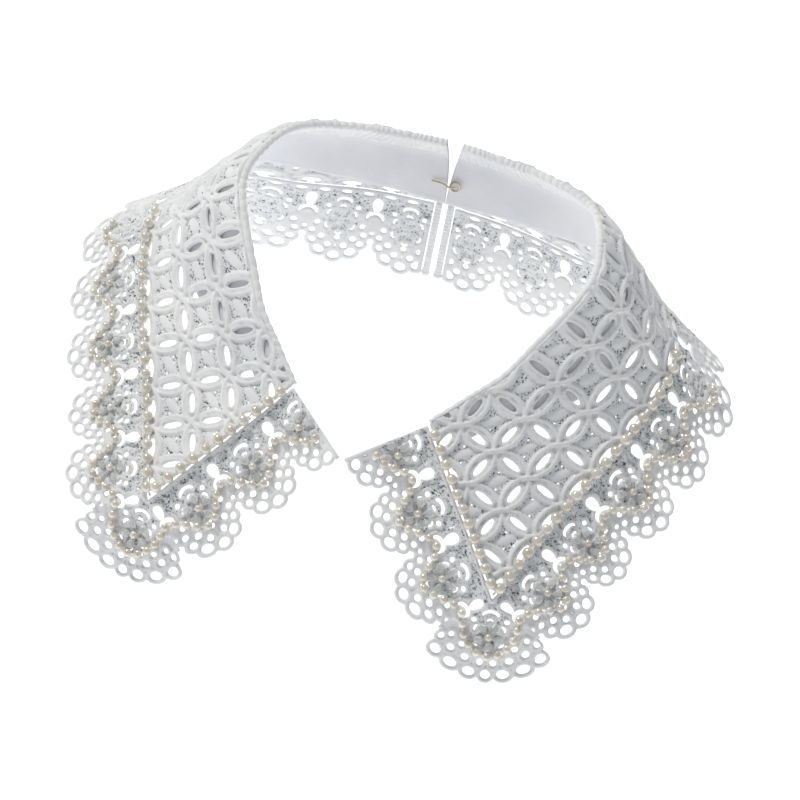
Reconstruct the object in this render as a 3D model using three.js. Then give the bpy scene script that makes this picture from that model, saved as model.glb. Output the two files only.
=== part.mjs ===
// Detachable pointed lace collar in its worn form, in millimetres, +Z up, wearer facing -Y.
// The origin is the centre of the neck opening, level with the point where the front ends meet.
// Each half is laid out flat first: "across" runs from the side seam towards the neck edge and
// "along" runs up the side seam from the front point to the centre back. The tables below bend
// that pattern round the neck, and the second half is the first one mirrored.
import * as THREE from "three";

const seamGap = 0.3;
const laceThick = 1.0;
const facingThick = 1.0;
const facingWidth = 24;
const turnedWidth = 4.6;
const scallopPitch = 24;
const notchReach = 20;
const scallopDepth = 10.5;
const sideLength = 215;
const frontLength = 64;
const frontSeam = new THREE.Vector2(0.839, 0.545);
const pearlLineBack = 110;
const innerPearl = 3.6;
const pearlInset = 1.2;
const outerPearl = 3.0;
const bindingWidth = 2.4;
const bindingThick = 2.6;
const neckRoll = 2.5;
const neckRollWidth = 9;
const backOpening = 2.6;

// The side seam: its place at each length along it, and the way (per mm) up to the neck edge.
const seamRows = [
  { along: 0, x: 61.5, y: -74, z: -28.5, toX: -0.9, toY: 0.08, toZ: 0.425 },
  { along: 35, x: 73, y: -44, z: -14, toX: -0.91, toY: 0.08, toZ: 0.425 },
  { along: 65, x: 85, y: -17.5, z: -0.5, toX: -0.86, toY: -0.01, toZ: 0.535 },
  { along: 96, x: 94, y: 9, z: 13, toX: -0.67, toY: -0.02, toZ: 0.745 },
  { along: 112, x: 93.5, y: 21, z: 19.5, toX: -0.64, toY: -0.02, toZ: 0.77 },
  { along: 137, x: 81, y: 41.5, z: 26, toX: -0.63, toY: -0.01, toZ: 0.82 },
  { along: 164, x: 51, y: 50, z: 26.5, toX: -0.4, toY: 0.13, toZ: 0.92 },
  { along: 190, x: 25.5, y: 55, z: 28, toX: -0.24, toY: 0.14, toZ: 0.97 },
  { along: 215, x: 0.5, y: 57, z: 28.5, toX: 0, toY: 0.16, toZ: 1.02 },
];

// Width of the body from the side seam to the neck edge, past the top of the front seam.
const neckRows = [
  { along: 35, reach: 53.7 },
  { along: 50, reach: 48.5 },
  { along: 65, reach: 43.5 },
  { along: 96, reach: 43 },
  { along: 112, reach: 43 },
  { along: 137, reach: 36.5 },
  { along: 164, reach: 31 },
  { along: 190, reach: 27.2 },
  { along: 215, reach: 25 },
];

// The edging: the way it hangs from the seam, by scallop. Scallop 0 starts at the front point's
// side, -1 to 0 is the fan round the point, and below -1 it runs up the front to the neck.
const edgingRows = [
  { scallop: -3.667, outX: -0.75, outY: -0.6, outZ: -0.28 },
  { scallop: -3, outX: -0.8, outY: -0.49, outZ: -0.36 },
  { scallop: -2, outX: -0.8, outY: -0.42, outZ: -0.43 },
  { scallop: -1, outX: -0.74, outY: -0.4, outZ: -0.54 },
  { scallop: -0.5, outX: 0.13, outY: -0.37, outZ: -0.92 },
  { scallop: 0, outX: 0.9, outY: -0.12, outZ: -0.42 },
  { scallop: 2, outX: 0.87, outY: -0.14, outZ: -0.48 },
  { scallop: 4, outX: 0.8, outY: -0.16, outZ: -0.58 },
  { scallop: 5, outX: 0.82, outY: 0.04, outZ: -0.56 },
  { scallop: 5.7, outX: 0.62, outY: 0.22, outZ: -0.74 },
  { scallop: 6.8, outX: 0.12, outY: -0.14, outZ: -0.98 },
  { scallop: 7.9, outX: 0.03, outY: -0.2, outZ: -0.975 },
  { scallop: 8.96, outX: 0, outY: -0.22, outZ: -0.975 },
];

// Smooth reading of one column of a table between its rows.
function read(rows, key, column, at) {
  const last = rows.length - 1;
  let i = 0;
  while (i < last - 1 && at > rows[i + 1][key]) i += 1;
  const slope = (k) => {
    const a = rows[Math.max(k - 1, 0)];
    const b = rows[Math.min(k + 1, last)];
    return (b[column] - a[column]) / (b[key] - a[key]);
  };
  const span = rows[i + 1][key] - rows[i][key];
  const t = (at - rows[i][key]) / span;
  const [p, q] = [rows[i][column], rows[i + 1][column]];
  const [m, n] = [slope(i) * span, slope(i + 1) * span];
  return (2 * t ** 3 - 3 * t ** 2 + 1) * p + (t ** 3 - 2 * t ** 2 + t) * m
    + (3 * t ** 2 - 2 * t ** 3) * q + (t ** 3 - t ** 2) * n;
}

function ramp(from, to, value) {
  return THREE.MathUtils.smoothstep(value, from, to);
}

// Distance from the side seam to the front seam or the neck edge at this length along.
function reach(along) {
  const topOfFront = neckRows[0].along;
  if (along <= topOfFront) return (along * neckRows[0].reach) / topOfFront;
  return read(neckRows, "along", "reach", along);
}

// A point of the body's middle surface.
function bodyPoint(across, along) {
  const at = (column) => read(seamRows, "along", column, along);
  const point = new THREE.Vector3(at("x"), at("y"), at("z"));
  point.addScaledVector(new THREE.Vector3(at("toX"), at("toY"), at("toZ")), across);
  const up = Math.max(across, 0) / reach(sideLength);
  point.x += backOpening * up ** 2 * ramp(190, sideLength, along);
  const nearNeck = Math.max(0, 1 - (reach(along) - across) / neckRollWidth);
  const inward = neckRoll * nearNeck ** 2 * ramp(neckRows[0].along, 80, along);
  const centre = new THREE.Vector3(-point.x, -point.y, 0).normalize();
  return point.addScaledVector(centre, inward);
}

// Where the edging's seam runs, on the body's own edge.
function seamPoint(scallop) {
  if (scallop >= 0) return bodyPoint(0, scallop * scallopPitch);
  const up = Math.max(0, (-1 - scallop) * scallopPitch);
  return bodyPoint(frontSeam.x * up, frontSeam.y * up);
}

// A point of the edging, "out" millimetres below its seam.
function edgingPoint(scallop, out) {
  const at = (column) => read(edgingRows, "scallop", column, scallop);
  const way = new THREE.Vector3(at("outX"), at("outY"), at("outZ")).normalize();
  return seamPoint(scallop).addScaledVector(way, out);
}

function hemReach(scallop) {
  return notchReach + scallopDepth * Math.abs(Math.sin(Math.PI * scallop)) ** 0.55;
}

// The same surface moved out along its own normal.
function lifted(surface, u, v, lift) {
  const step = 0.05;
  const du = surface(u + step, v).sub(surface(u - step, v));
  const dv = surface(u, v + step).sub(surface(u, v - step));
  const normal = du.cross(dv).normalize();
  return surface(u, v).addScaledVector(normal, lift);
}

// A closed wall from a grid of surface places, each row holding the same number of [u, v] pairs.
function wall(surface, grid, low, high) {
  const [rows, columns] = [grid.length, grid[0].length];
  const corners = [];
  for (const lift of [high, low]) {
    for (const row of grid) {
      for (const [u, v] of row) corners.push(...lifted(surface, u, v, lift).toArray());
    }
  }
  const index = (side, i, j) => side * rows * columns + i * columns + j;
  const faces = [];
  const quad = (a, b, c, d) => faces.push(a, b, c, a, c, d);
  for (let i = 0; i < rows - 1; i += 1) {
    for (let j = 0; j < columns - 1; j += 1) {
      quad(index(0, i, j), index(0, i + 1, j), index(0, i + 1, j + 1), index(0, i, j + 1));
      quad(index(1, i, j), index(1, i, j + 1), index(1, i + 1, j + 1), index(1, i + 1, j));
    }
  }
  const rim = [];
  for (let j = 0; j < columns - 1; j += 1) rim.push([0, j]);
  for (let i = 0; i < rows - 1; i += 1) rim.push([i, columns - 1]);
  for (let j = columns - 1; j > 0; j -= 1) rim.push([rows - 1, j]);
  for (let i = rows - 1; i > 0; i -= 1) rim.push([i, 0]);
  rim.forEach(([i, j], k) => {
    const [ni, nj] = rim[(k + 1) % rim.length];
    quad(index(0, i, j), index(0, ni, nj), index(1, ni, nj), index(1, i, j));
  });
  const geometry = new THREE.BufferGeometry();
  geometry.setAttribute("position", new THREE.Float32BufferAttribute(corners, 3));
  geometry.setIndex(faces);
  return geometry;
}

function spread(from, to, count) {
  return Array.from({ length: count + 1 }, (_, i) => from + ((to - from) * i) / count);
}

const bodySurface = (along, across) => bodyPoint(across, along);
const edgingSurface = (scallop, out) => edgingPoint(scallop, out);

// Lace body: the overlapping-circle lace from the seams up to the neck edge.
function bodyGeometry() {
  const places = [...spread(2, 35, 6), ...spread(39, sideLength - 0.4, 28)];
  const grid = places.map((along) => {
    const top = along <= 35 ? reach(along) - 2 * seamGap : reach(along);
    return spread(seamGap / 2, top, 8).map((across) => [along, across]);
  });
  return wall(bodySurface, grid, -laceThick / 2, laceThick / 2);
}

// Scalloped edging: one strip from the centre back round the point and up the front.
function edgingGeometry() {
  const backEnd = (sideLength - bindingWidth - 0.8) / scallopPitch;
  const grid = spread(-3.66, backEnd, 84).map((scallop) => (
    spread(hemReach(scallop), seamGap, 3).map((out) => [scallop, -out])
  ));
  const surface = (scallop, minusOut) => edgingSurface(scallop, -minusOut);
  return wall(surface, grid, -laceThick / 2, laceThick / 2);
}

// Cotton facing behind the neck edge, full width round the band and narrower to the front.
function facingGeometry() {
  const grid = spread(40, sideLength - 0.6, 32).map((along) => {
    const width = THREE.MathUtils.lerp(12, facingWidth, ramp(40, 85, along));
    const top = reach(along) - seamGap;
    return spread(top - width, top, 5).map((across) => [along, across]);
  });
  const high = -laceThick / 2 - seamGap;
  return wall(bodySurface, grid, high - facingThick, high);
}

// The lace's top edge, turned over the band and sewn down on the inside.
function turnedGeometry() {
  const grid = spread(58, sideLength - 0.8, 30).map((along) => {
    const top = reach(along) - seamGap;
    return spread(top - turnedWidth, top, 1).map((across) => [along, across]);
  });
  const high = -laceThick / 2 - facingThick - 2 * seamGap;
  return wall(bodySurface, grid, high - laceThick, high);
}

// Corded binding on the centre-back edge of the edging.
function bindingGeometry() {
  const grid = [bindingWidth + 0.3, 0.6].map((inFromBack) => (
    spread(hemReach(8.6), 1, 6).map((out) => [(sideLength - inFromBack) / scallopPitch, -out])
  ));
  const surface = (scallop, minusOut) => edgingSurface(scallop, -minusOut);
  return wall(surface, grid, -bindingThick / 2, bindingThick / 2);
}

// Inner pearl line: a straight strip just inside the seam, mitred at the front point.
function innerPearlGeometry() {
  const half = innerPearl / 2;
  const edges = [pearlInset - half, pearlInset + half];
  const inside = new THREE.Vector2(-frontSeam.y, frontSeam.x);
  const front = spread(frontLength - 2, 10, 10).map((up) => edges.map((side) => {
    const at = frontSeam.clone().multiplyScalar(up).addScaledVector(inside, side);
    return [at.y, at.x];
  }));
  const halfAngle = Math.atan2(frontSeam.x, frontSeam.y) / 2;
  const bisector = frontSeam.clone().add(new THREE.Vector2(0, 1)).normalize();
  const corner = edges.map((side) => {
    const away = side / Math.sin(halfAngle);
    return [bisector.y * away, bisector.x * away];
  });
  const side = spread(10, pearlLineBack, 16).map((along) => edges.map((across) => [along, across]));
  const low = laceThick / 2 + 2 * seamGap;
  return wall(bodySurface, [...front, corner, ...side], low, low + innerPearl * 0.85);
}

// Outer pearl line: it bulges out round each flower and dips in at each notch.
function outerPearlReach(scallop) {
  return 16 - 4.5 * Math.cos(2 * Math.PI * scallop);
}

function outerPearlGeometry() {
  const backEnd = pearlLineBack / scallopPitch;
  const grid = spread(-3.6, backEnd, 84).map((scallop) => {
    const slope = ((4.5 * 2 * Math.PI) / scallopPitch) * Math.sin(2 * Math.PI * scallop);
    const half = (outerPearl / 2) * Math.hypot(1, slope);
    const out = outerPearlReach(scallop);
    return [[scallop, -out - half], [scallop, -out + half]];
  });
  const surface = (scallop, minusOut) => edgingSurface(scallop, -minusOut);
  const low = laceThick / 2 + seamGap;
  return wall(surface, grid, low, low + outerPearl * 0.9);
}

// Hook and eye inside the band at the centre back, fastened: the bill lies in the eye's ring.
const closureAcross = 11;
const wire = 0.4;
const onFacing = laceThick / 2 + seamGap + facingThick + 2.5 * seamGap + wire;

function closureY() {
  return lifted(bodySurface, sideLength - 4, closureAcross, -onFacing).y;
}

function wireTube(points) {
  const ring = new THREE.Shape().absarc(0, 0, wire, 0, 2 * Math.PI);
  const path = new THREE.CatmullRomCurve3(points);
  const options = { steps: 18, curveSegments: 5, extrudePath: path, bevelEnabled: false };
  return new THREE.ExtrudeGeometry(ring, options);
}

function eyeGeometry() {
  const ring = new THREE.TorusGeometry(1.8, wire, 8, 20);
  ring.rotateX(Math.PI / 2 - 0.16);
  return ring.translate(2.7, closureY(), 38);
}

function hookGeometry() {
  const y = closureY();
  const points = [[-6, 0], [-3, 0], [-1.2, -0.4], [0.4, -1.3], [1.6, -1.3], [2.5, -0.5]];
  return wireTube(points.map(([x, back]) => new THREE.Vector3(x, y + back, 38)));
}

const white = { roughness: 0.85, metalness: 0 };
const materials = {
  lace: new THREE.MeshStandardMaterial({ color: "#f4f4f2", ...white }),
  cotton: new THREE.MeshStandardMaterial({ color: "#eceef0", ...white }),
  cord: new THREE.MeshStandardMaterial({ color: "#fafafa", ...white }),
  pearl: new THREE.MeshStandardMaterial({ color: "#ede6d6", roughness: 0.25, metalness: 0 }),
  steel: new THREE.MeshStandardMaterial({ color: "#c9c4b4", roughness: 0.35, metalness: 0.9 }),
};

const pieces = [
  { name: "lace_body", make: bodyGeometry, material: materials.lace },
  { name: "scalloped_edging", make: edgingGeometry, material: materials.lace },
  { name: "facing_band", make: facingGeometry, material: materials.cotton },
  { name: "turned_edge", make: turnedGeometry, material: materials.lace },
  { name: "back_binding", make: bindingGeometry, material: materials.cord },
  { name: "inner_pearl_line", make: innerPearlGeometry, material: materials.pearl },
  { name: "outer_pearl_line", make: outerPearlGeometry, material: materials.pearl },
];

// The other half is the mirror image, with its faces turned round to stay outward.
function mirrored(geometry) {
  const copy = geometry.clone().scale(-1, 1, 1);
  const faces = copy.getIndex().array;
  for (let i = 0; i < faces.length; i += 3) {
    [faces[i], faces[i + 1]] = [faces[i + 1], faces[i]];
  }
  return copy;
}

const collar = new THREE.Group();

function addPiece(name, geometry, material) {
  const mesh = new THREE.Mesh(geometry, material);
  mesh.name = name;
  collar.add(mesh);
}

for (const piece of pieces) {
  const geometry = piece.make();
  addPiece(`${piece.name}_left`, geometry, piece.material);
  addPiece(`${piece.name}_right`, mirrored(geometry), piece.material);
}
addPiece("hook", hookGeometry(), materials.steel);
addPiece("eye", eyeGeometry(), materials.steel);

export default collar;
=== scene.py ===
from math import cos, pi, radians, sin

import bmesh
import bpy
import numpy as np
from mathutils import Matrix, Vector


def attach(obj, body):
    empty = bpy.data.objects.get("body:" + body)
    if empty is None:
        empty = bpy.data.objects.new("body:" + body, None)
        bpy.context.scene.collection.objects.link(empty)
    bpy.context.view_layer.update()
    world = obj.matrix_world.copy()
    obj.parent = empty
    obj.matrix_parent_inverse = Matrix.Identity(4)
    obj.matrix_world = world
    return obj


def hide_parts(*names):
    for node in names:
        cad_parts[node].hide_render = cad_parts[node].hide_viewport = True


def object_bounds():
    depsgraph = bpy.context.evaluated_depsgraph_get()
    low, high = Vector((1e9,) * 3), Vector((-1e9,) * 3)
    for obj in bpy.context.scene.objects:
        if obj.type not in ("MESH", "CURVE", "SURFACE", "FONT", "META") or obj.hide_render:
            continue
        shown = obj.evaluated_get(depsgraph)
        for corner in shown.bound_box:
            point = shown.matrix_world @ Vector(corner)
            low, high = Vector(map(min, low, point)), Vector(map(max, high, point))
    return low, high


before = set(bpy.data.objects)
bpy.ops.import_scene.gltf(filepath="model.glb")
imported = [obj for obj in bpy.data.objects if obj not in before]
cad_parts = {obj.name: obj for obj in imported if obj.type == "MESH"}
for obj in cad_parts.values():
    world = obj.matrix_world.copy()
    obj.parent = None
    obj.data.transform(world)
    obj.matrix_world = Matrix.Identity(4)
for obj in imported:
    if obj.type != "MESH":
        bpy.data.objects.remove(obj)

cad_box = [list(corner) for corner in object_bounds()]
mm = 0.001


# Camera. It looks down on the collar from the wearer's front, a little to the wearer's left,
# from about 1.3 m with a long lens, and it is tilted a little.
camera_turn = radians(10.9)
camera_height = radians(39.0)
camera_tilt = radians(8.8)
camera_distance = 1288 * mm
camera_target = Vector((7.9, -12.5, -7.0)) * mm
camera_data = bpy.data.cameras.new("camera")
camera_data.lens = 166.7
camera_data.sensor_width = 36
camera = bpy.data.objects.new("camera", camera_data)
bpy.context.collection.objects.link(camera)
look = Matrix.Rotation(camera_turn, 4, "Z") @ Matrix.Rotation(pi / 2 - camera_height, 4, "X")
look = look @ Matrix.Rotation(camera_tilt, 4, "Z")
camera.matrix_world = Matrix.Translation(camera_target) @ look @ Matrix.Translation((0, 0, camera_distance))
bpy.context.scene.camera = camera


# Studio: a white sweep that glows a little under the collar, a soft key from high above and a
# little to the wearer's right and back, a wide weak fill from the front, and pale walls all round.
def linear(hex_colour):
    channels = [int(hex_colour[i:i + 2], 16) / 255 for i in (1, 3, 5)]
    return [c / 12.92 if c <= 0.04045 else ((c + 0.055) / 1.055) ** 2.4 for c in channels] + [1]


def add_node(tree, kind, links=(), **settings):
    """Add a node, set its properties and sockets by name, and link sockets into it."""
    node = tree.nodes.new(kind)
    for name, value in settings.items():
        if hasattr(node, name):
            setattr(node, name, value)
        else:
            node.inputs[name.replace("_", " ")].default_value = value
    for socket, source in dict(links).items():
        tree.links.new(source, node.inputs[socket])
    return node


def new_material(name):
    """A material with an empty tree, its shader and its output joined."""
    material = bpy.data.materials.new(name)
    material.use_nodes = True
    tree = material.node_tree
    tree.nodes.clear()
    shader = tree.nodes.new("ShaderNodeBsdfPrincipled")
    output = tree.nodes.new("ShaderNodeOutputMaterial")
    tree.links.new(shader.outputs[0], output.inputs[0])
    return material, tree, shader


world = bpy.data.worlds.new("white studio walls")
world.use_nodes = True
world.node_tree.nodes["Background"].inputs[0].default_value = linear("#F4F7FB")
world.node_tree.nodes["Background"].inputs[1].default_value = 0.37
bpy.context.scene.world = world
bpy.context.scene.view_settings.view_transform = "Standard"

paper, tree, shader = new_material("white paper sweep")
shader.inputs["Base Color"].default_value = linear("#FFFFFF")
shader.inputs["Roughness"].default_value = 0.9
shader.inputs["Emission Color"].default_value = linear("#FFFFFF")
shader.inputs["Emission Strength"].default_value = 0.64
floor_mesh = bpy.data.meshes.new("floor")
floor_half = 6.0
floor_low = cad_box[0][2] - 60 * mm
floor_mesh.from_pydata([(x, y, floor_low) for x, y in
                        ((-floor_half, -floor_half), (floor_half, -floor_half),
                         (floor_half, floor_half), (-floor_half, floor_half))], [], [(0, 1, 2, 3)])
floor = bpy.data.objects.new("floor", floor_mesh)
floor.data.materials.append(paper)
bpy.context.collection.objects.link(floor)


def area_light(name, place, size, power, colour):
    lamp = bpy.data.lights.new(name, "AREA")
    lamp.size = size
    lamp.energy = power
    lamp.color = linear(colour)[:3]
    holder = bpy.data.objects.new(name, lamp)
    holder.location = place
    holder.rotation_euler = (-Vector(place)).to_track_quat("-Z", "Y").to_euler()
    bpy.context.collection.objects.link(holder)


area_light("key", (-0.7, 0.3, 1.25), 0.3, 11.0, "#FFFDF8")
area_light("fill", (0.7, -1.5, 1.0), 1.2, 0.9, "#F2F6FF")


# Lace body: cotton guipure lace, its heavy corded circles over a fine net with silver lame
# thread. Its panel is laid out flat, "across" from the side seam to the neck edge and "along"
# from the front point to the centre back, and is then bent round the neck by the seam's rows.
seam_columns = ("along", "x", "y", "z", "to_x", "to_y", "to_z")
seam_rows = np.array([
    (0, 61.5, -74, -28.5, -0.9, 0.08, 0.425),
    (35, 73, -44, -14, -0.91, 0.08, 0.425),
    (65, 85, -17.5, -0.5, -0.86, -0.01, 0.535),
    (96, 94, 9, 13, -0.67, -0.02, 0.745),
    (112, 93.5, 21, 19.5, -0.64, -0.02, 0.77),
    (137, 81, 41.5, 26, -0.63, -0.01, 0.82),
    (164, 51, 50, 26.5, -0.4, 0.13, 0.92),
    (190, 25.5, 55, 28, -0.24, 0.14, 0.97),
    (215, 0.5, 57, 28.5, 0, 0.16, 1.02),
])
neck_columns = ("along", "reach")
neck_rows = np.array([
    (35, 53.7), (50, 48.5), (65, 43.5), (96, 43), (112, 43),
    (137, 36.5), (164, 31), (190, 27.2), (215, 25),
])
side_length = 215
front_length = 64
front_top = 35
front_seam = np.array((0.839, 0.545))
back_opening = 2.6
neck_roll = 2.5
neck_roll_width = 9


def read(rows, columns, name, at):
    """One column of a table, read smoothly between its rows."""
    at = np.asarray(at, float)
    keys, values = rows[:, 0], rows[:, columns.index(name)]
    i = np.clip(np.searchsorted(keys, at, side="left") - 1, 0, len(keys) - 2)
    slopes = np.array([
        (values[min(k + 1, len(keys) - 1)] - values[max(k - 1, 0)])
        / (keys[min(k + 1, len(keys) - 1)] - keys[max(k - 1, 0)]) for k in range(len(keys))])
    span = keys[i + 1] - keys[i]
    t = (at - keys[i]) / span
    return ((2 * t**3 - 3 * t**2 + 1) * values[i] + (t**3 - 2 * t**2 + t) * slopes[i] * span
            + (3 * t**2 - 2 * t**3) * values[i + 1] + (t**3 - t**2) * slopes[i + 1] * span)


def ramp(low, high, value):
    t = np.clip((value - low) / (high - low), 0, 1)
    return t * t * (3 - 2 * t)


def reach(along):
    """From the side seam to the front seam or the neck edge."""
    along = np.asarray(along, float)
    past = read(neck_rows, neck_columns, "reach", np.maximum(along, front_top))
    return np.where(along <= front_top, along * neck_rows[0, 1] / front_top, past)


def body_surface(along, across):
    """A place on the body's middle surface, in millimetres."""
    along, across = np.broadcast_arrays(np.asarray(along, float), np.asarray(across, float))
    start = [read(seam_rows, seam_columns, c, along) for c in ("x", "y", "z")]
    way = [read(seam_rows, seam_columns, c, along) for c in ("to_x", "to_y", "to_z")]
    x, y, z = (s + w * across for s, w in zip(start, way))
    up = np.maximum(across, 0) / 25
    x = x + back_opening * up**2 * ramp(190, side_length, along)
    near = np.maximum(0, 1 - (reach(along) - across) / neck_roll_width)
    inward = neck_roll * near**2 * ramp(front_top, 80, along)
    far = np.hypot(x, y)
    return np.stack([x - x / far * inward, y - y / far * inward, z], -1)


def lifted(surface, u, v, lift):
    """The same surface moved out along its normal."""
    step = 0.05
    du = surface(u + step, v) - surface(u - step, v)
    dv = surface(u, v + step) - surface(u, v - step)
    normal = np.cross(du, dv)
    normal /= np.linalg.norm(normal, axis=-1, keepdims=True) + 1e-12
    return surface(u, v) + normal * np.asarray(lift)[..., None]


def hash_noise(u, v, seed):
    """Smooth noise from -1 to 1, one blob per unit."""
    iu, iv = np.floor(u), np.floor(v)
    fu, fv = ramp(0, 1, u - iu), ramp(0, 1, v - iv)

    def value(a, b):
        return np.modf(np.sin(a * 127.1 + b * 311.7 + seed * 74.7) * 43758.5453)[0]

    low = value(iu, iv) * (1 - fu) + value(iu + 1, iv) * fu
    high = value(iu, iv + 1) * (1 - fu) + value(iu + 1, iv + 1) * fu
    return low * (1 - fv) + high * fv


def cord(distance, width):
    """Height, from 0 to 1, of a round cord whose middle is half its width from 0."""
    return np.sqrt(np.clip(1 - ((distance - width / 2) / (width / 2))**2, 0, 1))


def ellipse(u, v, half_u, half_v, turn=0.0):
    """Rough distance outside an ellipse at the origin, negative inside it."""
    c, s = np.cos(turn), np.sin(turn)
    a, b = u * c + v * s, v * c - u * s
    k0 = np.hypot(a / half_u, b / half_v) + 1e-9
    k1 = np.hypot(a / half_u**2, b / half_v**2) + 1e-9
    return k0 * (k0 - 1) / k1


# The outlines that a cell of the lace grid can have, by which of its corners a, b, c, d (1, 2,
# 4, 8) are cloth. Numbers 0 to 3 are corners and 4 to 7 the crossings on sides ab, bc, cd, da.
cell_outlines = {
    1: [(0, 4, 7)], 2: [(4, 1, 5)], 3: [(0, 1, 5, 7)], 4: [(5, 2, 6)], 5: [(0, 4, 7), (5, 2, 6)],
    6: [(4, 1, 2, 6)], 7: [(0, 1, 2, 6, 7)], 8: [(6, 3, 7)], 9: [(0, 4, 6, 3)],
    10: [(4, 1, 5), (6, 3, 7)], 11: [(0, 1, 5, 6, 3)], 12: [(5, 2, 3, 7)],
    13: [(0, 4, 5, 2, 3)], 14: [(4, 1, 2, 3, 7)], 15: [(0, 1, 2, 3)],
}


def lace_piece(name, surface, us, vs, pattern, side):
    """A lace panel: cloth where the pattern is positive, as thick as its threads."""
    u, v = np.meshgrid(us, vs, indexing="ij")
    field, height, net = pattern(u, v)
    field = np.where(np.abs(field) < 1e-3, 1e-3, field)
    inside = field > 0
    node_id = np.full(field.shape, -1)
    node_id[inside] = np.arange(inside.sum())
    places = [np.stack([u[inside], v[inside], height[inside], net[inside]], -1)]
    total = int(inside.sum())
    crossing_ids = []
    for axis in (0, 1):
        first = [slice(None), slice(None)]
        second = [slice(None), slice(None)]
        first[axis], second[axis] = slice(0, -1), slice(1, None)
        first, second = tuple(first), tuple(second)
        crosses = inside[first] != inside[second]
        near, far = field[first][crosses], field[second][crosses]
        t = near / (near - far)
        ids = np.full(crosses.shape, -1)
        ids[crosses] = total + np.arange(crosses.sum())
        total += int(crosses.sum())
        mixed = [a[first][crosses] * (1 - t) + a[second][crosses] * t for a in (u, v)]
        places.append(np.stack([*mixed, np.zeros(len(t)), np.zeros(len(t))], -1))
        crossing_ids.append(ids)
    along_u, along_v = crossing_ids
    corner = [node_id[:-1, :-1], node_id[1:, :-1], node_id[1:, 1:], node_id[:-1, 1:]]
    sides = [along_u[:, :-1], along_v[1:, :], along_u[:, 1:], along_v[:-1, :]]
    ids = np.stack(corner + sides, -1)
    solid = [inside[:-1, :-1], inside[1:, :-1], inside[1:, 1:], inside[:-1, 1:]]
    case = sum(s.astype(int) << k for k, s in enumerate(solid))
    places = np.concatenate(places)
    faces = []
    for number, outlines in cell_outlines.items():
        cells = ids[case == number]
        for outline in outlines:
            top = cells[:, list(outline)]
            faces += top.tolist()
            faces += (top[:, ::-1] + total).tolist()
            for k, start in enumerate(outline):
                end = outline[(k + 1) % len(outline)]
                if start > 3 and end > 3:
                    p, q = cells[:, start], cells[:, end]
                    faces += np.stack([q, p, p + total, q + total], -1).tolist()
    pu, pv, ph, pn = places.T
    top = lifted(surface, pu, pv, net_half + ph)
    bottom = lifted(surface, pu, pv, -net_half - back_rise * ph)
    points = np.concatenate([top, bottom]) * mm
    if side < 0:
        points[:, 0] *= -1
        faces = [face[::-1] for face in faces]
    mesh = bpy.data.meshes.new(name)
    mesh.from_pydata(points.tolist(), [], faces)
    mesh.attributes.new("net", "FLOAT", "POINT").data.foreach_set("value", np.tile(pn, 2))
    mesh.shade_smooth()
    piece = bpy.data.objects.new(name, mesh)
    bpy.context.collection.objects.link(piece)
    return piece


net_half = 0.16
back_rise = 0.45
cell_pitch = 14.7
lattice_start = (1.5, -3.0)
circle_radius = cell_pitch / 2 * 2**0.5
cord_width = 1.75
cord_rise = 1.15
leaf_half_long, leaf_half_wide = 3.4, 1.05
satin_half_long, satin_half_wide, satin_turn = 3.6, 1.5, -1.0
rim_width = 1.1


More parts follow.
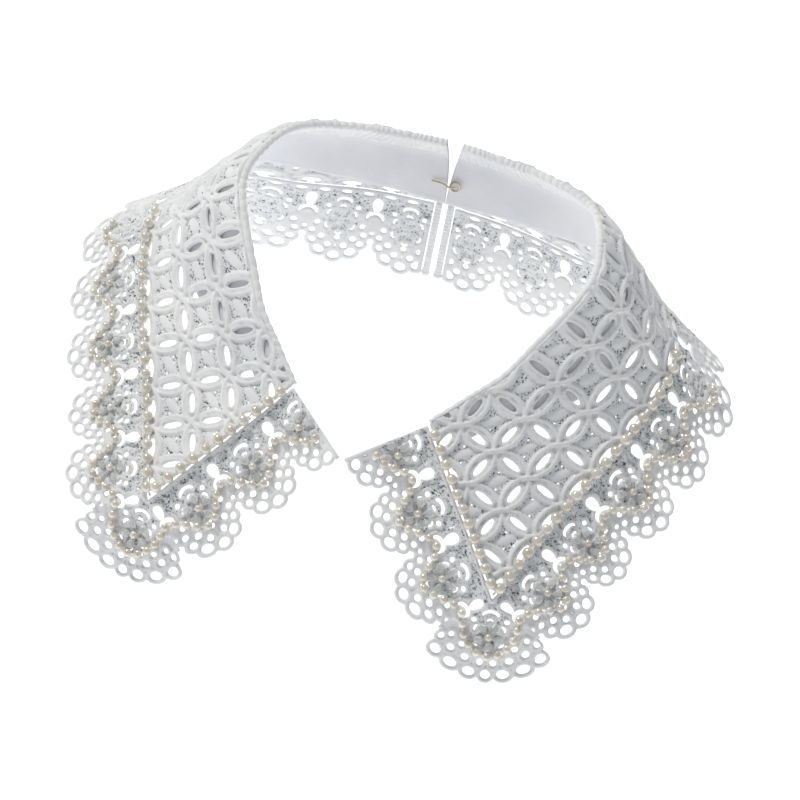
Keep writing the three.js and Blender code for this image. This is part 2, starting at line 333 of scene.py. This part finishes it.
def body_pattern(along, across):
    """Overlapping corded circles on a square lattice, an open leaf on each lattice side, and a
    padded satin leaf in each net cell."""
    wobble = 0.25
    x = across - lattice_start[0] + wobble * hash_noise(across / 9, along / 9, 1)
    y = along - lattice_start[1] + wobble * hash_noise(across / 9, along / 9, 2)
    gx, gy = x / cell_pitch, y / cell_pitch
    height = np.zeros_like(x)
    covered = np.zeros_like(x)
    for du in (-1, 0, 1):
        for dv in (-1, 0, 1):
            cx, cy = np.floor(gx) + 0.5 + du, np.floor(gy) + 0.5 + dv
            dx, dy = x - cx * cell_pitch, y - cy * cell_pitch
            off = np.abs(np.hypot(dx, dy) - circle_radius)
            over = 1 + 0.35 * np.sin(2 * np.arctan2(dy, dx) + pi / 4)
            ridge = cord(off + cord_width / 2, cord_width) * cord_rise * over
            height = np.maximum(height, ridge)
            covered = np.maximum(covered, off < cord_width / 2 + 0.15)
    upright_x = x - np.round(gx) * cell_pitch
    upright_y = y - (np.floor(gy) + 0.5) * cell_pitch
    upright = ellipse(upright_x, upright_y, leaf_half_wide, leaf_half_long)
    level_x = x - (np.floor(gx) + 0.5) * cell_pitch
    level_y = y - np.round(gy) * cell_pitch
    level = ellipse(level_x, level_y, leaf_half_long, leaf_half_wide)
    hole = np.minimum(upright, level)
    height = np.maximum(height, cord(hole, rim_width) * 0.85)
    covered = np.maximum(covered, hole < 1.7)
    cell_x = x - (np.floor(gx) + 0.5) * cell_pitch
    cell_y = y - (np.floor(gy) + 0.5) * cell_pitch
    satin = ellipse(cell_x, cell_y, satin_half_long, satin_half_wide, satin_turn)
    groove = 1 - 0.35 * np.exp(-((cell_y + 1.56 * cell_x) / 0.7)**2)
    padded = np.where(satin < 0, 0.55 * np.sqrt(np.clip(-satin / 1.9, 0, 1)) * groove, 0)
    height = np.maximum(height, padded)
    covered = np.maximum(covered, satin < 0.1)
    pinhole = np.full_like(x, 9.0)
    for turn in range(4):
        a, b = cos(turn * pi / 2), sin(turn * pi / 2)
        hole_x, hole_y = cell_x * a + cell_y * b, cell_y * a - cell_x * b
        pinhole = np.minimum(pinhole, ellipse(hole_x - 2.6, hole_y + 1.4, 0.42, 0.36))
    pinhole = np.where((satin > 0.5) & (covered < 0.5), pinhole, 9.0)
    net = 1 - covered
    height = height + 0.07 * net * hash_noise(x / 0.7, y / 0.7, 5)
    seam_edge = np.minimum(across - 0.15, side_length - 0.1 - along)
    inside_front = (along * front_seam[0] - across * front_seam[1]) - 0.35
    edge = np.minimum(seam_edge, inside_front)
    edge = np.minimum(edge, reach(np.maximum(along, front_top)) - across)
    height = np.maximum(height, cord(edge, 1.6) * 0.5)
    field = np.minimum(np.minimum(hole, pinhole), edge)
    return field, np.maximum(height, 0), net


def cotton_lace(name, thread_mm):
    """Guipure lace: matt white cotton thread, whose stitches give a fine grain, over a net of silver lame
    thread whose colour is painted with small bright glints and dark reflections."""
    material, tree, shader = new_material(name)
    place = add_node(tree, "ShaderNodeTexCoord").outputs["Object"]
    tone = add_node(tree, "ShaderNodeTexNoise", {"Vector": place}, Scale=1 / (16.67 * mm), Detail=3.0)
    cotton = add_node(tree, "ShaderNodeValToRGB", {"Fac": tone.outputs["Fac"]})
    cotton.color_ramp.elements[0].position = 0.3
    cotton.color_ramp.elements[0].color = linear("#ECEDEF")
    cotton.color_ramp.elements[1].position = 0.7
    cotton.color_ramp.elements[1].color = linear("#FBFBFA")
    # Painted glints: the net's specks are coloured from dark grey to near white. These are painted bright
    # glints and dark reflections of the silver lame thread, and the darker specks are also made metallic.
    specks = add_node(tree, "ShaderNodeTexVoronoi", {"Vector": place}, Scale=1 / (0.55 * mm))
    painted_glint_and_metal_pick = add_node(tree, "ShaderNodeSeparateColor", {"Color": specks.outputs["Color"]})
    painted_lame_glints = add_node(tree, "ShaderNodeValToRGB", {"Fac": painted_glint_and_metal_pick.outputs[0]})
    painted_lame_glints.color_ramp.interpolation = "CONSTANT"
    for position, colour in ((0.0, "#5E6268"), (0.05, "#9A9EA3"), (0.14, "#CDD0D3"), (0.4, "#EEF0F1")):
        element = painted_lame_glints.color_ramp.elements[0] if position == 0 else painted_lame_glints.color_ramp.elements.new(position)
        element.color = linear(colour)
    painted_lame_glints.color_ramp.elements[-1].color = linear("#FDFDFC")
    net = add_node(tree, "ShaderNodeAttribute", attribute_name="net").outputs["Fac"]
    colour = add_node(tree, "ShaderNodeMix", data_type="RGBA")
    tree.links.new(net, colour.inputs[0])
    tree.links.new(cotton.outputs["Color"], colour.inputs[6])
    tree.links.new(painted_lame_glints.outputs["Color"], colour.inputs[7])
    tree.links.new(colour.outputs[2], shader.inputs["Base Color"])
    silver = add_node(tree, "ShaderNodeMath", operation="LESS_THAN")
    tree.links.new(painted_glint_and_metal_pick.outputs[0], silver.inputs[0])
    silver.inputs[1].default_value = 0.2
    silver_net = add_node(tree, "ShaderNodeMath", operation="MULTIPLY")
    tree.links.new(silver.outputs[0], silver_net.inputs[0])
    tree.links.new(net, silver_net.inputs[1])
    tree.links.new(silver_net.outputs[0], shader.inputs["Metallic"])
    rough = add_node(tree, "ShaderNodeMapRange", {"Value": silver_net.outputs[0]})
    rough.inputs["To Min"].default_value = 0.82
    rough.inputs["To Max"].default_value = 0.35
    tree.links.new(rough.outputs[0], shader.inputs["Roughness"])
    grain = add_node(tree, "ShaderNodeTexVoronoi", {"Vector": place}, Scale=1 / (thread_mm * mm))
    fuzz = add_node(tree, "ShaderNodeTexNoise", {"Vector": place}, Scale=1 / (0.9 * mm), Detail=2.0)
    relief = add_node(tree, "ShaderNodeMath", operation="ADD")
    tree.links.new(grain.outputs["Distance"], relief.inputs[0])
    tree.links.new(fuzz.outputs["Fac"], relief.inputs[1])
    bump = add_node(tree, "ShaderNodeBump", {"Height": relief.outputs[0]}, Strength=0.55)
    bump.inputs["Distance"].default_value = 0.12 * mm
    tree.links.new(bump.outputs["Normal"], shader.inputs["Normal"])
    shader.inputs["Sheen Weight"].default_value = 0.25
    shader.inputs["Sheen Roughness"].default_value = 0.5
    return material


lace_cotton = cotton_lace("white cotton guipure lace", 0.45)
grid_step = 0.5
halves = {"left": 1, "right": -1}
for half, side in halves.items():
    along_lines = np.arange(0, side_length + grid_step, grid_step)
    across_lines = np.arange(-0.5, neck_rows[0, 1] + 2, grid_step)
    lace = lace_piece(f"lace_panel_{half}", body_surface, along_lines, across_lines, body_pattern, side)
    lace.data.materials.append(lace_cotton)
    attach(lace, "root")
    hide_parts(f"lace_body_{half}")


# Scalloped edging: a separate strip of the same cotton lace, 31 mm deep, sewn on under the inner
# pearls. Each 24 mm scallop has a net flower, an arch over a padded mound at each notch, and a
# honeycomb of corded rings that ends in three round lobes.
edging_columns = ("scallop", "out_x", "out_y", "out_z")
edging_rows = np.array([
    (-3.667, -0.75, -0.6, -0.28),
    (-3, -0.8, -0.49, -0.36),
    (-2, -0.8, -0.42, -0.43),
    (-1, -0.74, -0.4, -0.54),
    (-0.5, 0.13, -0.37, -0.92),
    (0, 0.9, -0.12, -0.42),
    (2, 0.87, -0.14, -0.48),
    (4, 0.8, -0.16, -0.58),
    (5, 0.82, 0.04, -0.56),
    (5.7, 0.62, 0.22, -0.74),
    (6.8, 0.12, -0.14, -0.98),
    (7.9, 0.03, -0.2, -0.975),
    (8.96, 0, -0.22, -0.975),
])
scallop_pitch = 24.0
fan_angle = radians(123)
fan_length = 52
ring_thread = 1.6


def seam_place(scallop):
    up = np.maximum(0, (-1 - scallop) * scallop_pitch)
    along = np.where(scallop >= 0, scallop * scallop_pitch, front_seam[1] * up)
    return body_surface(along, np.where(scallop >= 0, 0, front_seam[0] * up))


def edging_surface(scallop, minus_out):
    """A place on the edging's middle surface, in millimetres."""
    scallop, minus_out = np.broadcast_arrays(np.asarray(scallop, float), np.asarray(minus_out, float))
    way = np.stack([read(edging_rows, edging_columns, c, scallop) for c in edging_columns[1:]], -1)
    way /= np.linalg.norm(way, axis=-1, keepdims=True)
    return seam_place(scallop) - way * minus_out[..., None]


# Open rings of one scallop: place from its middle, place out from the seam, half width, half
# depth and lean.
scallop_rings = [(0, 27.9, 2.0, 1.5, 0), (0, 20.9, 1.05, 0.9, 0)]
for way in (-1, 1):
    scallop_rings += [
        (way * 5.7, 26.1, 1.95, 1.45, -0.5 * way), (way * 2.9, 23.9, 1.2, 1.1, 0),
        (way * 8.5, 22.5, 1.2, 1.0, -0.6 * way), (way * 5.7, 20.8, 1.2, 1.05, 0),
        (way * 9.2, 18.7, 1.0, 0.95, 0), (way * 12, 17.5, 0.8, 0.7, 0), (way * 8.2, 15.4, 1.0, 0.9, 0),
    ]
# The fan round the point has three arcs of rings, each drawn in a little towards its ends: their
# reach, count, step in degrees, half width and half depth.
fan_arcs = ((27.5, 7, 13.5, 2.0, 1.5), (23.3, 8, 13.2, 1.2, 1.1), (20.0, 7, 13.5, 0.95, 0.9))
fan_rings = []
for arc_reach, ring_count, step, wide, deep in fan_arcs:
    for ring_number in range(ring_count):
        from_middle = ring_number - (ring_count - 1) / 2
        lean = radians(from_middle * step)
        out = arc_reach - 0.12 * from_middle**2
        fan_rings.append((out * sin(lean), out * cos(lean), wide, deep, -lean))
flower_out = 13.6
petal_count = 6
flower_net_radius = 6.4
seam_net_from, seam_net_to = 1.3, 10
front_border_reach = 31.3


def flower_parts(s, r):
    """Distance to the small open crescents round a flower, and its petals' relief."""
    r = r - flower_out
    far, angle = np.hypot(s, r), np.arctan2(r, s)
    sector = 2 * pi / petal_count
    local = (angle + pi / petal_count) % sector - sector / 2
    px, py = far * np.cos(local), far * np.sin(local)
    petal = ellipse(px - 3.2, py, 2.1, 1.45)
    relief = cord(np.abs(petal) + 0.35, 0.7) * 0.5
    relief = np.maximum(relief, cord(np.abs(far - 0.9) + 0.35, 0.7) * 0.55)
    between = (angle % sector) - sector / 2
    gx, gy = far * np.cos(between), far * np.sin(between)
    crescent = np.maximum(ellipse(gx - 5.4, gy, 0.75, 1.25), -ellipse(gx - 4.6, gy, 0.8, 1.2))
    return crescent, relief


def edging_pattern(scallop, minus_out):
    r = -minus_out
    s = ((scallop % 1) - 0.5) * scallop_pitch
    in_fan = (scallop > -1) & (scallop < 0)
    turn = (scallop + 0.5) * fan_angle
    fx, fy = r * np.sin(turn), r * np.cos(turn)
    holes = np.full_like(r, 9.0)
    for table, a, b, chosen in ((scallop_rings, s, r, ~in_fan), (fan_rings, fx, fy, in_fan)):
        for middle, out, wide, deep, lean in table:
            ring = np.where(chosen, ellipse(a - middle, b - out, wide, deep, lean), 9.0)
            holes = np.minimum(holes, ring)
    outer = holes.copy()
    a = np.where(in_fan, fx, s)
    b = np.where(in_fan, fy, r)
    crescent, relief = flower_parts(a, b)
    # At each notch line: a drop-shaped hole near the seam, then an arch over a padded mound.
    quarter = np.where(in_fan, r * (fan_angle / 2 - np.abs(turn)), scallop_pitch / 2 - np.abs(s))
    drop = ellipse(quarter * (1 + 0.09 * (r - 6.5)), r - 6.3, 1.75, 2.7)
    arch = np.maximum(ellipse(quarter, r - 11.2, 3.2, 2.5), -ellipse(quarter, r - 12.3, 2.6, 2.3))
    mound = ellipse(quarter, r - 13.2, 2.2, 2.0)
    slot = ellipse(((s + 4) % 8) - 4, r - 2.1, 2.0, 0.62)
    slot = np.where((scallop > 4.7), slot, 9.0)
    # Over each flower: a low arch, and a small round hole to each side of it.
    bow = np.maximum(ellipse(a, b - 6.0, 2.9, 1.6), -ellipse(a, b - 6.9, 2.5, 1.5))
    dots = ellipse(np.abs(a) - 5.4, b - 8.3, 0.85, 0.8)
    openwork = np.minimum(np.minimum(drop, arch), np.minimum(crescent, slot))
    openwork = np.minimum(openwork, np.minimum(bow, dots))
    holes = np.minimum(holes, openwork)
    height = cord(holes, ring_thread) * 0.8
    height = np.maximum(height, relief * (holes > 0))
    height = np.maximum(height, np.where(mound < 0, 0.7 * np.sqrt(np.clip(-mound / 2, 0, 1)), 0))
    in_flower = np.hypot(a, b - flower_out) < flower_net_radius
    in_seam_net = (r > seam_net_from) & (r < seam_net_to)
    net = (in_flower | in_seam_net).astype(float)
    net = net * (holes > 0.75) * (relief < 0.15)
    height = np.maximum(height, (1 - net) * 0.22)
    height = height + 0.07 * net * hash_noise(s / 0.7, r / 0.7, 8)
    base_reach = np.where(in_fan, 21.0, 19.3 + 3.0 * np.cos(s / scallop_pitch * 2 * pi))
    front_end = (scallop + 3.655) * scallop_pitch
    back_end = (8.818 - scallop) * scallop_pitch
    outline = np.maximum(base_reach - r, ring_thread - outer)
    outline = np.maximum(outline, np.where(front_end < ring_thread, front_border_reach - r, -9.0))
    ends = np.minimum(r - 0.3, np.minimum(front_end, back_end))
    holes = np.maximum(holes, ring_thread - np.minimum(front_end, back_end))
    edge = np.minimum(outline, ends)
    height = np.maximum(height * ramp(-0.1, 0.6, edge), cord(edge, ring_thread) * 0.75)
    return np.minimum(holes, edge), height, net


scallop_lines = np.concatenate([
    np.arange(-3.68, -1, grid_step / scallop_pitch),
    np.arange(-1, 0, grid_step / fan_length),
    np.arange(0, 8.84, grid_step / scallop_pitch),
])
out_lines = np.arange(-32.2, 0.3, grid_step)
for half, side in halves.items():
    edging = lace_piece(f"lace_edging_{half}", edging_surface, scallop_lines, out_lines, edging_pattern, side)
    edging.data.materials.append(lace_cotton)
    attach(edging, "root")
    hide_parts(f"scalloped_edging_{half}")


# Facing: a strip of plain white cotton sateen behind the neck edge, its weave fine and smooth
# with a soft sheen. It is turned under at its lower edge and stitched there, which puckers it.
facing_width = 24
facing_low, facing_high = -1.55, -0.85


def closed_strip(name, surface, lines, low, high, side):
    """A closed wall over a grid, low and high giving its two faces at each [u, v]."""
    u, v = (np.array([[place[k] for place in line] for line in lines]) for k in (0, 1))
    rows, columns = u.shape
    top = lifted(surface, u, v, high(u, v)).reshape(-1, 3)
    bottom = lifted(surface, u, v, low(u, v)).reshape(-1, 3)
    points = np.concatenate([top, bottom]) * mm
    count = rows * columns
    faces = []
    for i in range(rows - 1):
        for j in range(columns - 1):
            a, b = i * columns + j, (i + 1) * columns + j
            faces.append((a, b, b + 1, a + 1))
            faces.append((a + count, a + 1 + count, b + 1 + count, b + count))
    rim = list(range(columns - 1))
    rim += [i * columns + columns - 1 for i in range(rows - 1)]
    rim += [(rows - 1) * columns + j for j in range(columns - 1, 0, -1)]
    rim += [i * columns for i in range(rows - 1, 0, -1)]
    for k, a in enumerate(rim):
        b = rim[(k + 1) % len(rim)]
        faces.append((a, b, b + count, a + count))
    if side < 0:
        points[:, 0] *= -1
        faces = [face[::-1] for face in faces]
    mesh = bpy.data.meshes.new(name)
    mesh.from_pydata(points.tolist(), [], faces)
    mesh.shade_smooth()
    piece = bpy.data.objects.new(name, mesh)
    bpy.context.collection.objects.link(piece)
    return piece


sateen, tree, shader = new_material("white cotton sateen facing")
place = add_node(tree, "ShaderNodeTexCoord").outputs["Object"]
cloud = add_node(tree, "ShaderNodeTexNoise", {"Vector": place}, Scale=1 / (22.22 * mm), Detail=3.0)
tone = add_node(tree, "ShaderNodeValToRGB", {"Fac": cloud.outputs["Fac"]})
tone.color_ramp.elements[0].position = 0.35
tone.color_ramp.elements[0].color = linear("#E3E5EA")
tone.color_ramp.elements[1].position = 0.65
tone.color_ramp.elements[1].color = linear("#F0EFF2")
tree.links.new(tone.outputs["Color"], shader.inputs["Base Color"])
# At scale 1 a wave texture has 20 / (2 pi) bands to the metre along an axis, and 10 * root 3 /
# (2 pi) on the diagonal. Sateen threads are about 0.15 mm apart, too fine to show, so their bands
# are drawn 1.9 mm apart, and the crossing ones 2.9 mm.
wave_scale = 2 * pi / 20
diagonal_wave_scale = 2 * pi / (10 * 3**0.5)
sateen_bands, sateen_cross_bands = 1.885, 2.902
threads = add_node(tree, "ShaderNodeTexWave", {"Vector": place}, Distortion=1.2,
                   Scale=wave_scale / (sateen_bands * mm))
threads.bands_direction = "Z"
crossing = add_node(tree, "ShaderNodeTexWave", {"Vector": place}, Distortion=1.2,
                    Scale=diagonal_wave_scale / (sateen_cross_bands * mm))
crossing.bands_direction = "DIAGONAL"
weave = add_node(tree, "ShaderNodeMath", operation="ADD")
tree.links.new(threads.outputs["Fac"], weave.inputs[0])
tree.links.new(crossing.outputs["Fac"], weave.inputs[1])
bump = add_node(tree, "ShaderNodeBump", {"Height": weave.outputs[0]}, Strength=0.25)
bump.inputs["Distance"].default_value = 0.05 * mm
tree.links.new(bump.outputs["Normal"], shader.inputs["Normal"])
shader.inputs["Roughness"].default_value = 0.5
shader.inputs["Sheen Weight"].default_value = 0.35

for half, side in halves.items():
    lines = []
    for along in np.linspace(40, side_length + 0.3, 200):
        width = 12 + (facing_width - 12) * float(ramp(40, 85, along))
        top = float(reach(along)) - 0.3
        lines.append([(along, across) for across in np.linspace(top - width, top, 26)])

    def pucker(along, across):
        low_edge = reach(along) - 0.3 - facing_width
        near = np.exp(-((across - low_edge) / 3.0)**2)
        waves = 0.16 * hash_noise(along / 14, across / 9, 3)
        waves = waves + 0.2 * near * hash_noise(along / 3.5, across / 6, 4)
        hem = -0.12 * np.exp(-((across - low_edge - 1.6) / 0.35)**2)
        return waves + hem

    facing = closed_strip(f"facing_{half}", body_surface, lines,
                          lambda u, v: facing_low - pucker(u, v), lambda u, v: facing_high + 0 * u, side)
    facing.data.materials.append(sateen)
    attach(facing, "root")
    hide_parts(f"facing_band_{half}")


# Turned edge: the lace's top edge, folded over the neck line and whipped down on the facing.
# The fold is round, and the lace's cords dent it every few millimetres.
fold_radius = 1.15
turned_width = 4.6
least_turned = 1.2
outer_lap = 1.2


def turned_surface(along, travel):
    """Travel runs from the outside, over the fold, and down inside the neck edge."""
    arc = np.clip(travel / fold_radius, 0, pi)
    down = np.maximum(travel - fold_radius * pi, 0)
    across = reach(along) - 0.2 + fold_radius * np.sin(arc) - down
    return lifted(body_surface, along, across, 0.35 - fold_radius * (1 - np.cos(arc)))


for half, side in halves.items():
    lines = []
    for along in np.linspace(front_top + 1, side_length + 0.1, 520):
        inside = least_turned + (turned_width - least_turned) * float(ramp(50, 75, along))
        ragged = 0.35 * float(hash_noise(along / 2.2, 0.0, 6))
        travel_end = fold_radius * pi + inside + ragged
        lines.append([(along, travel) for travel in np.linspace(-outer_lap, travel_end, 18)])

    def ribs(along, travel):
        sway = 1.7 * hash_noise(along / 7, travel / 5, 7) + 0.16 * travel
        wave = np.abs(np.sin(pi * along / 3.4 + sway)) * (0.75 + 0.25 * hash_noise(along / 5, 0.0, 11))
        fine = 0.12 * hash_noise(along / 0.8, travel / 0.8, 9)
        return 0.5 * np.sqrt(wave) + fine

    turned = closed_strip(f"turned_lace_{half}", turned_surface, lines,
                          lambda u, v: -0.25 + 0 * u, lambda u, v: 0.1 + ribs(u, v), side)
    turned.data.materials.append(lace_cotton)
    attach(turned, "root")
    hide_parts(f"turned_edge_{half}")


# Back binding: a strip of cotton corded round the edging's centre-back edge, thicker than the
# lace and ended in a small knot below.
cord_white, tree, shader = new_material("white corded cotton binding")
place = add_node(tree, "ShaderNodeTexCoord").outputs["Object"]
cloud = add_node(tree, "ShaderNodeTexNoise", {"Vector": place}, Scale=1 / (5 * mm), Detail=2.0)
tone = add_node(tree, "ShaderNodeValToRGB", {"Fac": cloud.outputs["Fac"]})
tone.color_ramp.elements[0].color = linear("#F1F2F3")
tone.color_ramp.elements[1].color = linear("#FDFDFD")
tree.links.new(tone.outputs["Color"], shader.inputs["Base Color"])
# The twist of the cord is drawn coarse, 5 mm from ridge to ridge, so that it shows.
cord_twist = 5.079
twist = add_node(tree, "ShaderNodeTexWave", {"Vector": place}, Distortion=0.6,
                 Scale=diagonal_wave_scale / (cord_twist * mm))
twist.bands_direction = "DIAGONAL"
bump = add_node(tree, "ShaderNodeBump", {"Height": twist.outputs["Fac"]}, Strength=0.6)
bump.inputs["Distance"].default_value = 0.15 * mm
tree.links.new(bump.outputs["Normal"], shader.inputs["Normal"])
shader.inputs["Roughness"].default_value = 0.75
shader.inputs["Sheen Weight"].default_value = 0.2


def tube(name, centres, radii, around, side=1):
    """A round closed tube along the centres, with a dome at each end."""
    centres = np.asarray(centres, float)
    ahead = np.gradient(centres, axis=0)
    ahead /= np.linalg.norm(ahead, axis=1, keepdims=True)
    helper = np.array((0.37, 0.21, 0.9)) if abs(ahead[0][2]) < 0.8 else np.array((1.0, 0.2, 0.1))
    across = np.cross(ahead, helper)
    across /= np.linalg.norm(across, axis=1, keepdims=True)
    up = np.cross(across, ahead)
    angles = np.linspace(0, 2 * pi, around, endpoint=False)
    circle = (across[:, None] * np.cos(angles)[None, :, None] + up[:, None] * np.sin(angles)[None, :, None])
    rings = centres[:, None] + circle * np.asarray(radii)[:, None, None]
    domes = centres[[0, -1]] + ahead[[0, -1]] * [[-radii[0]], [radii[-1]]]
    points = np.concatenate([rings.reshape(-1, 3), domes]) * mm
    count = len(centres)
    faces = []
    for i in range(count - 1):
        for j in range(around):
            a, b = i * around + j, i * around + (j + 1) % around
            faces.append((a, b, b + around, a + around))
    first, last = count * around, count * around + 1
    for j in range(around):
        faces.append((first, (j + 1) % around, j))
        faces.append((last, (count - 1) * around + j, (count - 1) * around + (j + 1) % around))
    if side < 0:
        points[:, 0] *= -1
        faces = [face[::-1] for face in faces]
    mesh = bpy.data.meshes.new(name)
    mesh.from_pydata(points.tolist(), [], faces)
    mesh.shade_smooth()
    piece = bpy.data.objects.new(name, mesh)
    bpy.context.collection.objects.link(piece)
    return piece


for half, side in halves.items():
    outs = np.linspace(0.5, 28.5, 90)
    centres = edging_surface(np.full(90, (side_length - 1.7) / scallop_pitch), -outs)
    twist_radii = 1.25 + 0.12 * np.sin(outs * 2 * pi / 1.3) + 0.35 * np.exp(-((outs - 28) / 1.2)**2)
    binding = tube(f"corded_binding_{half}", centres, twist_radii, 20, side)
    binding.data.materials.append(cord_white)
    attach(binding, "root")
    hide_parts(f"back_binding_{half}")


# Pearl lines: glass pearls with a cream lustre coat, strung on white cotton and couched down.
# The inner line is straight, of 4 mm pearls; the outer one waves round the flowers, of 3 mm.
pearl_coat, tree, shader = new_material("cream glass pearl")
place = add_node(tree, "ShaderNodeTexCoord").outputs["Object"]
tint = add_node(tree, "ShaderNodeTexNoise", {"Vector": place}, Scale=1 / (6.25 * mm), Detail=1.0)
tone = add_node(tree, "ShaderNodeValToRGB", {"Fac": tint.outputs["Fac"]})
tone.color_ramp.elements[0].position = 0.35
tone.color_ramp.elements[0].color = linear("#E2DACB")
tone.color_ramp.elements[1].position = 0.7
tone.color_ramp.elements[1].color = linear("#F5F0E5")
tree.links.new(tone.outputs["Color"], shader.inputs["Base Color"])
shader.inputs["Metallic"].default_value = 0.25
shader.inputs["Roughness"].default_value = 0.22
shader.inputs["Coat Weight"].default_value = 0.8
shader.inputs["Coat Roughness"].default_value = 0.08
shader.inputs["Sheen Weight"].default_value = 0.15


def beads(name, centres, radius, side):
    """One mesh of round pearls."""
    ball = bmesh.new()
    bmesh.ops.create_uvsphere(ball, u_segments=16, v_segments=10, radius=radius * mm)
    ball.verts.ensure_lookup_table()
    shape = np.array([v.co[:] for v in ball.verts])
    outline = [[v.index for v in face.verts] for face in ball.faces]
    ball.free()
    points, faces = [], []
    for centre in centres:
        start = len(points)
        middle = np.array(centre) * mm * [side, 1, 1]
        points += (shape + middle).tolist()
        faces += [[start + k for k in face] for face in outline]
    mesh = bpy.data.meshes.new(name)
    mesh.from_pydata(points, [], faces)
    mesh.shade_smooth()
    piece = bpy.data.objects.new(name, mesh)
    bpy.context.collection.objects.link(piece)
    return piece


def evenly(points, pitch):
    """Places a pitch apart along a line of close points."""
    steps = np.linalg.norm(np.diff(points, axis=0), axis=1)
    run = np.concatenate([[0], np.cumsum(steps)])
    count = int(round(run[-1] / pitch))
    wanted = (np.arange(count) + 0.5) * run[-1] / count
    return np.stack([np.interp(wanted, run, points[:, k]) for k in range(3)], -1)


inner_radius, inner_pitch = 2.0, 5.3
outer_radius, outer_pitch = 1.5, 3.85
pearl_back = 112
couching_lift = 0.35
thread_radius = 0.3
front_up = np.linspace(front_length - 2, 2, 120)
inner_lift = inner_radius + couching_lift
front_line = lifted(body_surface, front_seam[1] * front_up + 0.35, front_seam[0] * front_up, inner_lift)
side_line = lifted(body_surface, np.linspace(2, pearl_back, 200), 0.3, np.full(200, inner_lift))
inner_route = np.concatenate([front_line, side_line])
wave_scallops = np.linspace(-3.6, pearl_back / scallop_pitch, 900)
wave_out = 16 - 4.5 * np.cos(2 * pi * wave_scallops)
outer_route = lifted(edging_surface, wave_scallops, -wave_out, np.full(900, outer_radius + couching_lift))
for half, side in halves.items():
    for line, route, radius, pitch in (("inner", inner_route, inner_radius, inner_pitch),
                                       ("outer", outer_route, outer_radius, outer_pitch)):
        pearls = beads(f"{line}_pearls_{half}", evenly(route, pitch), radius, side)
        pearls.data.materials.append(pearl_coat)
        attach(pearls, "root")
        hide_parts(f"{line}_pearl_line_{half}")
        thread_route = evenly(route, 1.2)
        thread_radii = np.full(len(thread_route), thread_radius)
        thread = tube(f"{line}_pearl_thread_{half}", thread_route, thread_radii, 6, side)
        thread.data.materials.append(cord_white)
        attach(thread, "root")


# Crystal flowers: cut glass petals, faceted and partly clear, sewn round a small pearl over each
# net flower of the fronts.
crystal, tree, shader = new_material("clear cut crystal")
place = add_node(tree, "ShaderNodeTexCoord").outputs["Object"]
tint = add_node(tree, "ShaderNodeTexNoise", {"Vector": place}, Scale=1 / (8.333 * mm))
tone = add_node(tree, "ShaderNodeValToRGB", {"Fac": tint.outputs["Fac"]})
tone.color_ramp.elements[0].color = linear("#E3E6E3")
tone.color_ramp.elements[1].color = linear("#FFFFFF")
tree.links.new(tone.outputs["Color"], shader.inputs["Base Color"])
shader.inputs["Transmission Weight"].default_value = 0.5
shader.inputs["IOR"].default_value = 1.56
shader.inputs["Roughness"].default_value = 0.06

petal_long, petal_wide, petal_tall = 4.6, 3.4, 1.5
crystal_petals = 5
flower_scallops = [-3.4, -2.5, -1.5, -0.5, 0.5, 1.5, 2.5, 3.5]


def cut_petal(centre, ahead, across, up):
    """A pear-shaped faceted stone: girdle, table and a shallow back."""
    girdle = [
        (-0.5, 0), (-0.3, 0.3), (0.05, 0.48), (0.36, 0.34),
        (0.5, 0), (0.36, -0.34), (0.05, -0.48), (-0.3, -0.3),
    ]
    points = []
    for scale, level in ((1, 0.35), (0.62, 1.0), (0.8, 0.0)):
        for a, b in girdle:
            spot = centre + ahead * a * scale * petal_long + across * b * scale * petal_wide
            points.append(spot + up * level * petal_tall)
    n = len(girdle)
    faces = [list(range(n, 2 * n)), list(range(3 * n - 1, 2 * n - 1, -1))]
    for k in range(n):
        m = (k + 1) % n
        faces += [[k, m, n + m], [k, n + m, n + k], [2 * n + k, 2 * n + m, m], [2 * n + k, m, k]]
    return points, faces


for half, side in halves.items():
    points, faces, hearts = [], [], []
    for scallop in flower_scallops:
        base = lifted(edging_surface, scallop, -flower_out, 0.5)
        up = lifted(edging_surface, scallop, -flower_out, 1.5) - base
        out = edging_surface(scallop, -flower_out - 1) - edging_surface(scallop, -flower_out)
        out = out / np.linalg.norm(out)
        sideways = np.cross(up, out)
        hearts.append(base + up * 1.5)
        for k in range(crystal_petals):
            turn = 2 * pi * (k + 0.25) / crystal_petals + 0.5 * scallop
            ahead = out * cos(turn) + sideways * sin(turn)
            across = np.cross(up, ahead)
            petal_points, petal_faces = cut_petal(base + ahead * 3.7, ahead, across, up)
            start = len(points)
            points += [(p * mm * [side, 1, 1]).tolist() for p in petal_points]
            faces += [[start + i for i in (face if side > 0 else face[::-1])] for face in petal_faces]
    mesh = bpy.data.meshes.new(f"crystal_petals_{half}")
    mesh.from_pydata(points, [], faces)
    petals = bpy.data.objects.new(f"crystal_petals_{half}", mesh)
    bpy.context.collection.objects.link(petals)
    petals.data.materials.append(crystal)
    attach(petals, "root")
    heart = beads(f"flower_pearls_{half}", hearts, 1.3, side)
    heart.data.materials.append(pearl_coat)
    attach(heart, "root")


# Hook and eye: bent nickel-plated wire with a warm tarnish, sewn inside the band at the centre
# back and fastened. They are shown on their own solids, with only their finish added.
nickel, tree, shader = new_material("nickel-plated wire")
place = add_node(tree, "ShaderNodeTexCoord").outputs["Object"]
wear = add_node(tree, "ShaderNodeTexNoise", {"Vector": place}, Scale=1 / (1.111 * mm))
tone = add_node(tree, "ShaderNodeValToRGB", {"Fac": wear.outputs["Fac"]})
tone.color_ramp.elements[0].color = linear("#B9AE93")
tone.color_ramp.elements[1].color = linear("#DED6C2")
tree.links.new(tone.outputs["Color"], shader.inputs["Base Color"])
shader.inputs["Metallic"].default_value = 1.0
shader.inputs["Roughness"].default_value = 0.32
for node_name in ("hook", "eye"):
    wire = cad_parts[node_name]
    wire.data.materials.clear()
    wire.data.materials.append(nickel)
